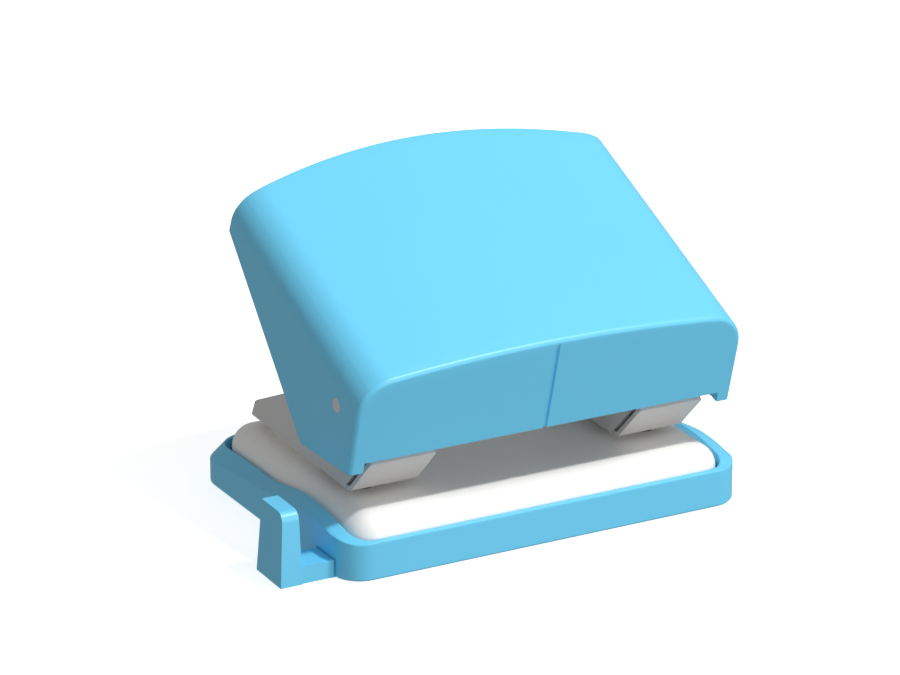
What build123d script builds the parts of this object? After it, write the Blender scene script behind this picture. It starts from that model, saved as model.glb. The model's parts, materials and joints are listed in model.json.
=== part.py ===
from build123d import *

import math
import os

# A two-hole desk punch, modelled as its separate pieces, in millimetres.
# +X runs to the right along the line of the two holes, +Y to the back of the punch
# and +Z up. The origin is on the underside of the chip tray, halfway between the
# holes and on the line through them, so Z = 0 is the table.
# Pieces are drawn where they are at rest: handle up, punch lying in its tray.

# ---------------------------------------------------------------- driving dimensions
HOLE_PITCH = 80.0            # two-hole filing standard
PIN_D = 6.0                  # punched hole
SLIDING_FIT = 0.06           # radial play of a pin in its guide and die
TURNING_FIT = 0.05           # radial play of an axle in its hole

# base plate: a pressed steel cap that lies in the tray
PLATE_HALF_W = 51.6
PLATE_FRONT = -21.4
PLATE_BACK = 54.5
PLATE_TOP = 15.0
PLATE_LOW = 8.0
PLATE_T = 1.5
PLATE_CORNER = 6.3
PLATE_EDGE = 6.0
PAPER_SLOT = 2.0             # height of the slot that paper slides into

# brackets: one folded steel channel over each hole
BRACKET_IN = 28.5            # X of the inner cheek's outside face
BRACKET_OUT = 46.7
SHEET_T = 1.2
WEB_LOW = PLATE_TOP + PAPER_SLOT
WEB_TOP = WEB_LOW + SHEET_T
BRACKET_BACK = 48.5
BRACKET_X = (BRACKET_IN + BRACKET_OUT) / 2
RIVET_Y = (20.0, 38.0)
PAPER_STOP_Y = 12.0          # from the holes to the paper's edge
RIVET_R, RIVET_HEAD_R, RIVET_HEAD_H = 2.0, 3.6, 1.3

# handle: its axle is at the front of the brackets
AXLE_Y, AXLE_Z = -13.4, 42.9
AXLE_D = 4.0
BOSS_R = 6.0
ARM = -AXLE_Y                # from the axle to the punch pins

COVER_HALF_W = 53.3
COVER_WALL = 2.6
COVER_SLOPE = 23.2           # slope of its top at rest
COVER_TOP_H = 16.23          # its top above the axle, square to the slope
COVER_CROWN_R = 420.0
COVER_CORNER = 9.5
COVER_FRONT = ((-20.6, 29.7), (-27.3, 54.3))      # front wall, bottom and top
COVER_TAB_LOW = 27.0
COVER_TAB_W = 3.8
COVER_HEEL = (6.3, 26.1)     # where its side walls stop above the base
COVER_TAIL = (45.5, 69.6)    # where they meet its rear wall
COVER_REAR_SIDE = 64.6       # rear wall behind the axle, at the sides and the middle
COVER_REAR_MIDDLE = 71.4
COVER_BOW_X = 46.7

LEVER_T = 1.5
LEVER_H = 6.8                # underside of the steel lever above the axle
LEVER_OUT = 49.1
SCREW_X = 20.0
SCREW_ALONG = (6.0, 42.0)    # behind the axle, along the slope
SCREW_R, SCREW_END = 1.5, 13.2

# punch pins
PIN_TIP = 17.2
PAD_R = 3.0
PIN_TOP = AXLE_Z - PAD_R - 0.1
WASHER_LOW, WASHER_T = 35.2, 1.0
CLIP_T = 0.8
SPRING_R, SPRING_WIRE, SPRING_TURNS = 4.75, 0.8, 7
BUSH_R, BUSH_TOP = 4.0, 27.0

# chip tray
TRAY_HALF_FRONT, TRAY_HALF_BACK = 56.0, 57.4     # it widens a little to the back
TRAY_INNER_W = 52.4
TRAY_FRONT, TRAY_BACK = -23.3, 58.5
TRAY_WALL_FRONT, TRAY_WALL_BACK = 1.6, 2.0
TRAY_RIM = 10.0
TRAY_SWELL = 3.1             # the side rims rise this much beside the holes
TRAY_RAMP_FRONT = (-24.0, 0.0)
TRAY_RAMP_BACK = (3.0, 27.0)
TRAY_FLOOR = 1.6
TRAY_CORNER_FRONT, TRAY_CORNER_BACK, TRAY_CORNER_IN = 7.5, 10.0, 6.0
HINGE_Y, HINGE_Z = 50.0, 9.3
HINGE_X = 30.0
HINGE_PIN_D = 2.5
LUG_R, LUG_T = 2.6, 1.5
STUB_R, STUB_L = 1.8, 2.5
RIB_BACK = 0.2          # the rib's rear face, clear of the plate's rim when it swings up

# paper guide, which slides in a tunnel under the tray
GUIDE_Y0, GUIDE_Y1 = -17.1, -8.0
GUIDE_H = 4.6
GUIDE_TAIL = 44.0
POST_X0, POST_X1 = -70.5, -64.7
POST_Y0, POST_Y1 = -17.2, -3.7
POST_H = 19.0
POST_TOP_X0, POST_TOP_X1 = -69.5, -65.2           # it tapers upward
POST_TOP_Y0, POST_TOP_Y1 = -16.6, -5.2
GUIDE_GAP = 0.3
TUNNEL_T = 1.2
RAIL_Z0, RAIL_Z1, RAIL_DEPTH = 1.7, 2.7, 1.2
RAIL_START = -46.0  # inboard of the arm's grooves with the guide pushed fully in


# ---------------------------------------------------------------- shape helpers
def block(x0, x1, y0, y1, z0, z1):
    """A box between two corners."""
    centre = ((x0 + x1) / 2, (y0 + y1) / 2, (z0 + z1) / 2)
    return Pos(*centre) * Box(x1 - x0, y1 - y0, z1 - z0)


def side_prism(points, x0, x1):
    """A (Y, Z) outline drawn in side view and carried from x0 to x1."""
    outline = make_face(Polyline(*points, close=True))
    return extrude(Plane.YZ.offset(x0) * outline, amount=x1 - x0)


def rod_x(radius, x0, x1, y, z):
    """A round bar along X."""
    return Pos((x0 + x1) / 2, y, z) * Rot(0, 90, 0) * Cylinder(radius, x1 - x0)


def rod_z(radius, x, y, z0, z1):
    """A round bar along Z."""
    return Pos(x, y, (z0 + z1) / 2) * Cylinder(radius, z1 - z0)


def soft_box(half_w, y0, y1, z0, z1, corner, edge):
    """A box with round vertical corners and, when edge is given, a round top edge."""
    shape = block(-half_w, half_w, y0, y1, z0, z1)
    shape = fillet(shape.edges().filter_by(Axis.Z), corner)
    if edge:
        shape = fillet(shape.edges().group_by(Axis.Z)[-1], edge)
    return shape


def mirrored(shape):
    """The left-hand twin of a right-hand piece."""
    return mirror(shape, about=Plane.YZ)


def save(name, shape):
    """Write one node's STEP file."""
    shape.label = name
    export_step(shape, f"parts/{name}.step")


def save_pair(name, shape):
    """Write a right-hand piece and its left-hand twin."""
    save("right_" + name, shape)
    save("left_" + name, mirrored(shape))


# The handle's own directions: along its sloping top and square to it.
slope = math.radians(COVER_SLOPE)
ALONG = (math.cos(slope), math.sin(slope))
UP = (-math.sin(slope), math.cos(slope))


def on_handle(along, up):
    """The (Y, Z) of a point given along and above the handle's axle."""
    return (AXLE_Y + along * ALONG[0] + up * UP[0], AXLE_Z + along * ALONG[1] + up * UP[1])


def handle_rod(radius, x, along, up0, up1):
    """A round bar square to the handle's top."""
    y, z = on_handle(along, (up0 + up1) / 2)
    return Pos(x, y, z) * Rot(COVER_SLOPE, 0, 0) * Cylinder(radius, up1 - up0)


# ---------------------------------------------------------------- base plate
def base_plate():
    """The white pressed plate: a shallow cap with raised pads that carry the brackets."""
    outer = soft_box(PLATE_HALF_W, PLATE_FRONT, PLATE_BACK, PLATE_LOW, PLATE_TOP,
                     PLATE_CORNER, PLATE_EDGE)
    inner = soft_box(PLATE_HALF_W - PLATE_T, PLATE_FRONT + PLATE_T, PLATE_BACK - PLATE_T,
                     PLATE_LOW - 1, PLATE_TOP - PLATE_T, PLATE_CORNER - PLATE_T,
                     PLATE_EDGE - PLATE_T)
    plate = outer - inner
    pad_half_w = 6.5
    for side in (-1, 1):
        middle = side * BRACKET_X
        pad = block(middle - pad_half_w, middle + pad_half_w, PAPER_STOP_Y, BRACKET_BACK - 4,
                    PLATE_TOP - 1, WEB_LOW)
        pad = fillet(pad.edges().filter_by(Axis.Z), 3.0)
        hollow = block(middle - pad_half_w + PLATE_T, middle + pad_half_w - PLATE_T,
                       PAPER_STOP_Y + PLATE_T, BRACKET_BACK - 4 - PLATE_T,
                       PLATE_TOP - PLATE_T - 1, WEB_LOW - PLATE_T)
        plate = plate + pad - hollow
        plate -= rod_z(PIN_D / 2 + SLIDING_FIT, side * HOLE_PITCH / 2, 0, PLATE_LOW, WEB_LOW)
        for y in RIVET_Y:
            plate -= rod_z(RIVET_R, middle, y, PLATE_LOW, WEB_LOW + 1)
        lug_x0 = side * HINGE_X - LUG_T / 2
        lug = rod_x(LUG_R, lug_x0, lug_x0 + LUG_T, HINGE_Y, HINGE_Z)
        lug += block(lug_x0, lug_x0 + LUG_T, HINGE_Y - LUG_R, HINGE_Y + LUG_R,
                     HINGE_Z, PLATE_TOP - PLATE_T + 0.3)
        hole = rod_x(HINGE_PIN_D / 2 + TURNING_FIT, lug_x0 - 1, lug_x0 + LUG_T + 1,
                     HINGE_Y, HINGE_Z)
        plate = plate + lug - hole
    return plate


def bracket_rivets():
    """Four round-headed rivets that hold the brackets on the plate's pads."""
    rivets = []
    for side in (-1, 1):
        for y in RIVET_Y:
            x = side * BRACKET_X
            shank = rod_z(RIVET_R, x, y, WEB_LOW - PLATE_T - RIVET_HEAD_H, WEB_TOP + 0.4)
            head = rod_z(RIVET_HEAD_R, x, y, WEB_TOP, WEB_TOP + RIVET_HEAD_H)
            head = fillet(head.edges().group_by(Axis.Z)[-1], RIVET_HEAD_H * 0.8)
            tail = rod_z(RIVET_HEAD_R, x, y, WEB_LOW - PLATE_T - RIVET_HEAD_H, WEB_LOW - PLATE_T)
            rivets.append(shank + head + tail)
    return Compound(children=rivets)


def die():
    """A hardened ring under the plate that the pin shears against."""
    x = HOLE_PITCH / 2
    ring = rod_z(5.5, x, 0, PLATE_TOP - PLATE_T - 3.0, PLATE_TOP - PLATE_T)
    ring = chamfer(ring.edges().group_by(Axis.Z)[0], 0.5)
    return ring - rod_z(PIN_D / 2 + SLIDING_FIT, x, 0, 0, PLATE_TOP)


# ---------------------------------------------------------------- bracket
def bracket():
    """The right-hand channel: two cheeks, a web close above the plate, a front lip."""
    boss_top = (AXLE_Y + BOSS_R * 0.407, AXLE_Z + BOSS_R * 0.9135)
    cheek = [(-4.0, WEB_LOW), (BRACKET_BACK, WEB_LOW), (45.9, 22.3), (44.4, 23.2), boss_top,
             (AXLE_Y, AXLE_Z), (AXLE_Y - 5.87, AXLE_Z - 1.25), (-14.5, 27.5)]
    shape = None
    for x0 in (BRACKET_IN, BRACKET_OUT - SHEET_T):
        wall = side_prism(cheek, x0, x0 + SHEET_T)
        wall += rod_x(BOSS_R, x0, x0 + SHEET_T, AXLE_Y, AXLE_Z)
        wall -= rod_x(AXLE_D / 2 + TURNING_FIT, x0 - 1, x0 + SHEET_T + 1, AXLE_Y, AXLE_Z)
        shape = wall if shape is None else shape + wall
    lip_rise = 10.7
    front = -7.3
    lip = [(0.0, WEB_LOW), (BRACKET_BACK, WEB_LOW), (BRACKET_BACK, WEB_TOP), (front + 0.5, WEB_TOP),
           (front - lip_rise + 0.85, WEB_LOW + lip_rise + 0.85), (front - lip_rise, WEB_LOW + lip_rise),
           (front, WEB_LOW)]
    shape += side_prism(lip, BRACKET_IN, BRACKET_OUT)
    shape -= rod_z(BUSH_R, HOLE_PITCH / 2, 0, WEB_LOW - 1, WEB_TOP + 1)
    for y in RIVET_Y:
        shape -= rod_z(RIVET_R, BRACKET_X, y, WEB_LOW - 1, WEB_TOP + 1)
    return shape


def guide_bush():
    """The tube, swaged into the web, that keeps the punch pin upright."""
    x = HOLE_PITCH / 2
    tube = rod_z(BUSH_R, x, 0, WEB_LOW, BUSH_TOP)
    tube = chamfer(tube.edges().group_by(Axis.Z)[-1], 0.4)
    return tube - rod_z(PIN_D / 2 + SLIDING_FIT, x, 0, 0, BUSH_TOP + 1)


# ---------------------------------------------------------------- punch pins
def punch_pin():
    """A round pin with a notched cutting end and a groove for its clip."""
    x = HOLE_PITCH / 2
    pin = rod_z(PIN_D / 2, x, 0, PIN_TIP, PIN_TOP)
    pin = chamfer(pin.edges().group_by(Axis.Z)[-1], 0.6)
    notch_depth = 1.6
    notch = side_prism([(-PIN_D, PIN_TIP - 1), (0, PIN_TIP + notch_depth), (PIN_D, PIN_TIP - 1)],
                       x - PIN_D, x + PIN_D)
    notch &= block(x - PIN_D, x + PIN_D, -2.4, 2.4, PIN_TIP - 1, PIN_TIP + 3)
    groove_z = WASHER_LOW + WASHER_T
    groove = rod_z(PIN_D, x, 0, groove_z, groove_z + CLIP_T)
    groove -= rod_z(2.3, x, 0, groove_z - 1, groove_z + CLIP_T + 1)
    return pin - notch - groove


def pin_clip():
    """An E-clip in the pin's groove."""
    x = HOLE_PITCH / 2
    z0 = WASHER_LOW + WASHER_T
    clip = rod_z(4.5, x, 0, z0, z0 + CLIP_T) - rod_z(2.3, x, 0, z0 - 1, z0 + CLIP_T + 1)
    clip -= block(x - 1.7, x + 1.7, -6, 0, z0 - 1, z0 + CLIP_T + 1)
    for side in (-1, 1):
        clip -= rod_z(0.9, x + side * 2.9, 0.4, z0 - 1, z0 + CLIP_T + 1)
    return clip


def spring_washer():
    """The flat washer between the clip and the return spring."""
    x = HOLE_PITCH / 2
    ring = rod_z(5.1, x, 0, WASHER_LOW, WASHER_LOW + WASHER_T)
    return ring - rod_z(PIN_D / 2, x, 0, WASHER_LOW - 1, WASHER_LOW + WASHER_T + 1)


def punch_spring():
    """The return spring around the guide bush: a plain helix of round wire."""
    rise = WASHER_LOW - WEB_TOP - SPRING_WIRE - 0.1
    path = Helix(pitch=rise / SPRING_TURNS, height=rise, radius=SPRING_R)
    section = Plane(origin=path @ 0, z_dir=path % 0) * Circle(SPRING_WIRE / 2)
    coil = sweep(section, path=path)
    return Pos(HOLE_PITCH / 2, 0, WEB_TOP + SPRING_WIRE / 2 + 0.05) * coil


# ---------------------------------------------------------------- handle
def arch_prism(half_w, top, crown, corner):
    """The handle's front view, a crowned arch with round shoulders, carried along its top."""
    shoulder = top - (crown - math.sqrt(crown ** 2 - half_w ** 2))
    low = -95.0
    outline = Line((-half_w, low), (-half_w, shoulder))
    outline += ThreePointArc((-half_w, shoulder), (0, top), (half_w, shoulder))
    outline += Line((half_w, shoulder), (half_w, low))
    outline += Line((half_w, low), (-half_w, low))
    face = make_face(outline)
    face = fillet(face.vertices().group_by(Axis.Y)[-1], corner)
    frame = Plane(origin=(0, AXLE_Y, AXLE_Z), x_dir=(1, 0, 0), z_dir=(0, -ALONG[0], -ALONG[1]))
    return extrude(frame * face, amount=110, both=True)


def bow_prism(inset):
    """The handle's plan: open at the front, bowed at the back between two square ends."""
    half_w, front = 70.0, -80.0
    side, middle = COVER_REAR_SIDE - inset, COVER_REAR_MIDDLE - inset
    outline = Polyline((COVER_BOW_X, side), (half_w, side), (half_w, front), (-half_w, front),
                       (-half_w, side), (-COVER_BOW_X, side))
    outline += ThreePointArc((-COVER_BOW_X, side), (0, middle), (COVER_BOW_X, side))
    frame = Plane(origin=(0, AXLE_Y, AXLE_Z), x_dir=(1, 0, 0), z_dir=(0, -ALONG[1], ALONG[0]))
    return extrude(frame * make_face(outline), amount=90, both=True)


def front_line(z, inset):
    """Y of the handle's front wall at height z."""
    (y0, z0), (y1, z1) = COVER_FRONT
    return y0 + (z - z0) * (y1 - y0) / (z1 - z0) + inset


def cover_outside():
    """The handle cover as a solid block, before it is hollowed."""
    rise = (COVER_TAIL[1] - COVER_HEEL[1]) / (COVER_TAIL[0] - COVER_HEEL[0])
    far = 60.0
    side = side_prism([(front_line(COVER_TAB_LOW, 0), COVER_TAB_LOW), (front_line(100, 0), 100),
                       (far, 100), (far, COVER_TAIL[1] + rise * (far - COVER_TAIL[0])), COVER_HEEL],
                      -COVER_HALF_W, COVER_HALF_W)
    solid = side & arch_prism(COVER_HALF_W, COVER_TOP_H, COVER_CROWN_R, COVER_CORNER)
    return solid & bow_prism(0)


def handle_cover():
    """The moulded cap that the hand presses, with its screw bosses and axle holes."""
    inside = side_prism([(front_line(10, COVER_WALL + 0.1), 10),
                         (front_line(100, COVER_WALL + 0.1), 100), (70, 100), (70, 10)],
                        -COVER_HALF_W, COVER_HALF_W)
    inside &= arch_prism(COVER_HALF_W - COVER_WALL, COVER_TOP_H - COVER_WALL,
                         COVER_CROWN_R - COVER_WALL, COVER_CORNER - COVER_WALL)
    inside &= bow_prism(COVER_WALL)
    cover = cover_outside() - inside
    lever_top = LEVER_H + LEVER_T
    for x in (-SCREW_X, SCREW_X):
        for along in SCREW_ALONG:
            cover += handle_rod(3.6, x, along, lever_top, COVER_TOP_H - 1.5)
            cover -= handle_rod(SCREW_R, x, along, 0, SCREW_END)
    tab_inside = COVER_HALF_W - COVER_TAB_W
    cover -= block(-tab_inside, tab_inside, -30, -12, 15, COVER_FRONT[0][1])
    groove_depth, groove_half_w = 0.6, 0.45
    low, high = 25.0, COVER_FRONT[1][1] - 1.0
    cover -= side_prism([(front_line(low, -1), low), (front_line(high, -1), high),
                         (front_line(high, groove_depth), high), (front_line(low, groove_depth), low)],
                        -groove_half_w, groove_half_w)
    return cover - rod_x(AXLE_D / 2, -60, 60, AXLE_Y, AXLE_Z)


def cover_screws():
    """Four pan-head screws that hold the cover on the lever, from below."""
    screws = []
    for x in (-SCREW_X, SCREW_X):
        for along in SCREW_ALONG:
            shank = handle_rod(SCREW_R, x, along, LEVER_H - 0.2, SCREW_END)
            head = handle_rod(3.0, x, along, LEVER_H - 2.0, LEVER_H)
            y, z = on_handle(along, LEVER_H - 2.0)
            slots = Box(0.8, 3.6, 2.0) + Box(3.6, 0.8, 2.0)
            cross = Pos(x, y, z) * Rot(COVER_SLOPE, 0, 0) * slots
            screws.append(head + shank - cross)
    return Compound(children=screws)


def lever():
    """The folded steel lever inside the cover: a top sheet, two ears, a rear flange."""
    front, back = -6.2, 52.0
    top = [on_handle(front, LEVER_H), on_handle(back, LEVER_H),
           on_handle(back, LEVER_H + LEVER_T), on_handle(front, LEVER_H + LEVER_T)]
    shape = side_prism(top, -LEVER_OUT, LEVER_OUT)
    flange = [on_handle(back - LEVER_T, LEVER_H - 5), on_handle(back, LEVER_H - 5),
              on_handle(back, LEVER_H), on_handle(back - LEVER_T, LEVER_H)]
    shape += side_prism(flange, -LEVER_OUT + 6, LEVER_OUT - 6)
    ear = [on_handle(front, LEVER_H + 0.5), on_handle(-BOSS_R * 0.9, 0), (AXLE_Y, AXLE_Z - 4),
           on_handle(BOSS_R, -2.0), on_handle(30, LEVER_H - 3), on_handle(34, LEVER_H + 0.5)]
    for side in (-1, 1):
        x0, x1 = sorted((side * LEVER_OUT, side * (LEVER_OUT - LEVER_T)))
        plate = side_prism(ear, x0, x1) + rod_x(BOSS_R - 0.5, x0, x1, AXLE_Y, AXLE_Z)
        shape += plate
    shape -= rod_x(AXLE_D / 2, -60, 60, AXLE_Y, AXLE_Z)
    for x in (-SCREW_X, SCREW_X):
        for along in SCREW_ALONG:
            shape -= handle_rod(SCREW_R, x, along, LEVER_H - 3, LEVER_H + LEVER_T + 1)
    return shape


def press_pad():
    """The round-ended block under the lever that pushes a pin down."""
    x = HOLE_PITCH / 2
    along = ARM * ALONG[0]
    drop = -ARM * math.sin(slope)
    stem = [on_handle(along - PAD_R, drop), on_handle(along + PAD_R, drop),
            on_handle(along + PAD_R, LEVER_H), on_handle(along - PAD_R, LEVER_H)]
    half_w = 4.2
    shape = side_prism(stem, x - half_w, x + half_w)
    return shape + rod_x(PAD_R, x - half_w, x + half_w, AXLE_Y + ARM, AXLE_Z)


# ---------------------------------------------------------------- chip tray
def tray():
    """The moulded tray: walls round the plate, a floor, the guide's tunnel, hinge stubs."""
    high = TRAY_RIM + TRAY_SWELL
    plan = Polyline((-TRAY_HALF_FRONT, TRAY_FRONT), (TRAY_HALF_FRONT, TRAY_FRONT),
                    (TRAY_HALF_BACK, TRAY_BACK), (-TRAY_HALF_BACK, TRAY_BACK), close=True)
    plan = make_face(plan)
    plan = fillet(plan.vertices().group_by(Axis.Y)[0], TRAY_CORNER_FRONT)
    plan = fillet(plan.vertices().group_by(Axis.Y)[-1], TRAY_CORNER_BACK)
    shape = extrude(plan, amount=high)
    y0, y1 = TRAY_FRONT + TRAY_WALL_FRONT, TRAY_BACK - TRAY_WALL_BACK
    inner = soft_box(TRAY_INNER_W, y0, y1, TRAY_FLOOR, high + 1, TRAY_CORNER_IN, 0)
    shape -= inner
    # the rims swell beside the holes, so the rest of the top is cut down to the rim
    wave = Line((TRAY_FRONT - 2, TRAY_RIM), (TRAY_RAMP_FRONT[0], TRAY_RIM))
    wave += Spline((TRAY_RAMP_FRONT[0], TRAY_RIM), (TRAY_RAMP_FRONT[1], high), tangents=((1, 0), (1, 0)))
    wave += Line((TRAY_RAMP_FRONT[1], high), (TRAY_RAMP_BACK[0], high))
    wave += Spline((TRAY_RAMP_BACK[0], high), (TRAY_RAMP_BACK[1], TRAY_RIM), tangents=((1, 0), (1, 0)))
    wave += Polyline((TRAY_RAMP_BACK[1], TRAY_RIM), (TRAY_BACK + 2, TRAY_RIM), (TRAY_BACK + 2, high + 5),
                     (TRAY_FRONT - 2, high + 5), (TRAY_FRONT - 2, TRAY_RIM))
    shape -= extrude(Plane.YZ * make_face(wave), amount=70, both=True)
    # ribs that the plate's edge stands on
    for side in (-1, 1):
        for y in (5.0, 35.0):
            x0, x1 = sorted((side * (TRAY_INNER_W + 0.5), side * (TRAY_INNER_W - 4)))
            shape += block(x0, x1, y - 1.5, y + 1.5, 0.5, PLATE_LOW - 0.1)
    # the tunnel for the paper guide, open below
    tunnel_y0, tunnel_y1 = GUIDE_Y0 - GUIDE_GAP, GUIDE_Y1 + GUIDE_GAP
    ceiling = GUIDE_H + GUIDE_GAP
    shape += block(-TRAY_INNER_W - 0.5, GUIDE_TAIL + 9, tunnel_y0 - TUNNEL_T, tunnel_y1 + TUNNEL_T,
                   0, ceiling + TUNNEL_T)
    shape -= block(-TRAY_HALF_BACK - 1, GUIDE_TAIL + 7.5, tunnel_y0, tunnel_y1, -1, ceiling)
    for edge, inward in ((tunnel_y0, 1), (tunnel_y1, -1)):
        r0, r1 = sorted((edge - inward * 0.2, edge + inward * RAIL_DEPTH))
        shape += block(RAIL_START, GUIDE_TAIL, r0, r1, RAIL_Z0, RAIL_Z1)
    # hinge stubs beside the plate's lugs
    for side in (-1, 1):
        inner_x = HINGE_X - LUG_T / 2 - 1.0
        rib_x0 = HINGE_X + LUG_T / 2 + 0.3
        x0, x1 = sorted((side * rib_x0, side * (rib_x0 + STUB_L)))
        shape += block(x0, x1, HINGE_Y - STUB_R, HINGE_Y + RIB_BACK, 0.5, HINGE_Z)
        shape += rod_x(STUB_R, x0, x1, HINGE_Y, HINGE_Z)
        p0, p1 = sorted((side * inner_x, side * (rib_x0 + 1)))
        shape += rod_x(HINGE_PIN_D / 2, p0, p1, HINGE_Y, HINGE_Z)
    return shape


def paper_guide():
    """The sliding guide: an upright post on a grooved arm."""
    arm = block(POST_X1 - 1, GUIDE_TAIL, GUIDE_Y0, GUIDE_Y1, 0, GUIDE_H)
    for edge, inward in ((GUIDE_Y0, 1), (GUIDE_Y1, -1)):
        y0, y1 = sorted((edge - inward, edge + inward * (RAIL_DEPTH + 0.1)))
        arm -= block(-54, GUIDE_TAIL + 1, y0, y1, RAIL_Z0 - GUIDE_GAP, RAIL_Z1 + GUIDE_GAP)
    low = block(POST_X0, POST_X1, POST_Y0, POST_Y1, 0, 0.5).faces().sort_by(Axis.Z)[0]
    top = block(POST_TOP_X0, POST_TOP_X1, POST_TOP_Y0, POST_TOP_Y1, POST_H - 0.5, POST_H)
    post = loft([low, top.faces().sort_by(Axis.Z)[-1]])
    front_top = post.edges().filter_by(Axis.X).group_by(Axis.Z)[-1].sort_by(Axis.Y)[0]
    post = fillet(front_top, 2.5)
    return post + arm


# ---------------------------------------------------------------- write the pieces
save("base_plate", base_plate())
save("bracket_rivets", bracket_rivets())
save_pair("die", die())
save_pair("bracket", bracket())
save_pair("guide_bush", guide_bush())
save_pair("punch_pin", punch_pin())
save_pair("pin_clip", pin_clip())
save_pair("spring_washer", spring_washer())
save_pair("punch_spring", punch_spring())
save("handle_cover", handle_cover())
save("cover_screws", cover_screws())
save("lever", lever())
save_pair("press_pad", press_pad())
save("axle", rod_x(AXLE_D / 2, -COVER_HALF_W, COVER_HALF_W, AXLE_Y, AXLE_Z))
save("tray", tray())
save("paper_guide", paper_guide())
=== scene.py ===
# %% [markdown]
# # A two-hole desk punch
#
# The punch stands on a table with its handle up. A blue moulded handle turns on an axle in
# two grey folded brackets, the brackets are riveted to a white pressed plate, and the plate
# lies in a blue tray that catches the paper chips. A blue guide slides out at the left.
#
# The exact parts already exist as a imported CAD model, which this script loads as a fixed
# frame. Every visible part is then made again as a smooth surface over its CAD part, or
# keeps its CAD shape and gets a finish. Lengths in this script are in millimetres until a
# mesh is written, because the parts are small.

# %% Load the frame
import json
import math

import bmesh
import bpy
import numpy as np
from mathutils import Matrix, Vector
from mathutils.geometry import delaunay_2d_cdt

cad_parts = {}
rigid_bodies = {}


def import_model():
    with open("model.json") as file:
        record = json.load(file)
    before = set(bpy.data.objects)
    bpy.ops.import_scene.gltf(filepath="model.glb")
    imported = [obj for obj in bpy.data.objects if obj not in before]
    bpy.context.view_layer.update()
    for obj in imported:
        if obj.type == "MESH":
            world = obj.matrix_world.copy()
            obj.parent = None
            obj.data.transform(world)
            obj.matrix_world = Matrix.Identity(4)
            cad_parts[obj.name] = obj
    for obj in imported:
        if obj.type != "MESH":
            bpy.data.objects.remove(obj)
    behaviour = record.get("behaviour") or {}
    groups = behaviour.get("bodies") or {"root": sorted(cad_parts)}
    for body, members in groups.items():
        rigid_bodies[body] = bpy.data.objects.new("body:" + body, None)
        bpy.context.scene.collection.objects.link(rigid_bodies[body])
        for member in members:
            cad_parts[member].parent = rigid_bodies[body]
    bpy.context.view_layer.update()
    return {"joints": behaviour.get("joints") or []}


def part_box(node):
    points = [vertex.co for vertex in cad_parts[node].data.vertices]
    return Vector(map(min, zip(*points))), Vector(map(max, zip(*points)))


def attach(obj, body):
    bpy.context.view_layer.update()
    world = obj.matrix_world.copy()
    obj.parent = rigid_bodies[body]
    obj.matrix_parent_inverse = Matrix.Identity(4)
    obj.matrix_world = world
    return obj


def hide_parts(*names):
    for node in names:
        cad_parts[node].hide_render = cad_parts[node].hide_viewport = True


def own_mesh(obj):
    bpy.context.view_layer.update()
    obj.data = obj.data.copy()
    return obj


for leftover in list(bpy.data.objects):
    bpy.data.objects.remove(leftover)
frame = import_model()
MM = 0.001

# %% [markdown]
# The places of the parts come from the frame. Two small helpers turn these into
# millimetres, so that the shapes below can be written the way a drawing gives them.

# %% Sizes read from the frame
def box_mm(node):
    """Lowest and highest corner of a CAD part, as two arrays in millimetres."""
    low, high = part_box(node)
    return np.array(low) / MM, np.array(high) / MM


def joint_place(name):
    """The point that a hinge turns about, in millimetres."""
    joint = next(j for j in frame["joints"] if j["name"] == name)
    return np.array(joint["pos_m"]) / MM


AXLE = joint_place("handle_hinge")
TRAY_PIVOT = joint_place("base_hinge")
tray_low, tray_high = box_mm("tray")
plate_low, plate_high = box_mm("base_plate")
cover_high = box_mm("handle_cover")[1]
bracket_low, bracket_high = box_mm("right_bracket")
pin_low, pin_high = box_mm("right_punch_pin")
guide_low, guide_high = box_mm("paper_guide")
PIN_X = (pin_low[0] + pin_high[0]) / 2
print(f"axle at {AXLE.round(2)} mm, holes {2 * PIN_X:.1f} mm apart")

# %% [markdown]
# ## Turning arrays into meshes
#
# Almost every part here is a grid of points: rows that follow the part, columns that go
# round it. The faces of a grid are the same every time, so one function makes them, and a
# second one writes a mesh. Doubled points are merged and the faces turned outward before
# anything gets a wall thickness.

# %% Mesh helpers
def grid_faces(rows, columns, closed=False):
    """Quads between neighbouring points of a grid, whose points run row by row.
    closed joins the last column to the first."""
    row = np.arange(rows - 1)[:, None]
    column = np.arange(columns if closed else columns - 1)[None, :]
    beside = (column + 1) % columns
    corners = (row * columns + column, row * columns + beside,
               (row + 1) * columns + beside, (row + 1) * columns + column)
    return np.stack(corners, axis=-1).reshape(-1, 4)


def join_parts(parts):
    """One (points, faces) pair from several."""
    points, faces, start = [], [], 0
    for part_points, part_faces in parts:
        flat = np.asarray(part_points, float).reshape(-1, 3)
        points.append(flat)
        faces += [[int(i) + start for i in face] for face in part_faces]
        start += len(flat)
    return np.concatenate(points), faces


def new_object(name, points, faces, crease=35.0, weld=0.001, turn=True):
    """A smooth-shaded object from points in millimetres. Edges sharper than crease degrees
    stay crisp, and points closer than weld millimetres become one. turn makes the faces look
    outward, and is off for a sheet whose faces already do."""
    mesh = bpy.data.meshes.new(name)
    mesh.from_pydata((np.asarray(points).reshape(-1, 3) * MM).tolist(), [],
                     [list(map(int, face)) for face in faces])
    work = bmesh.new()
    work.from_mesh(mesh)
    bmesh.ops.remove_doubles(work, verts=work.verts, dist=weld * MM)
    bmesh.ops.dissolve_degenerate(work, edges=work.edges, dist=weld * MM)
    if turn:
        bmesh.ops.recalc_face_normals(work, faces=work.faces)
    work.to_mesh(mesh)
    work.free()
    mesh.polygons.foreach_set("use_smooth", np.ones(len(mesh.polygons), bool))
    mesh.set_sharp_from_angle(angle=math.radians(crease))
    thing = bpy.data.objects.new(name, mesh)
    bpy.context.collection.objects.link(thing)
    return thing


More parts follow.
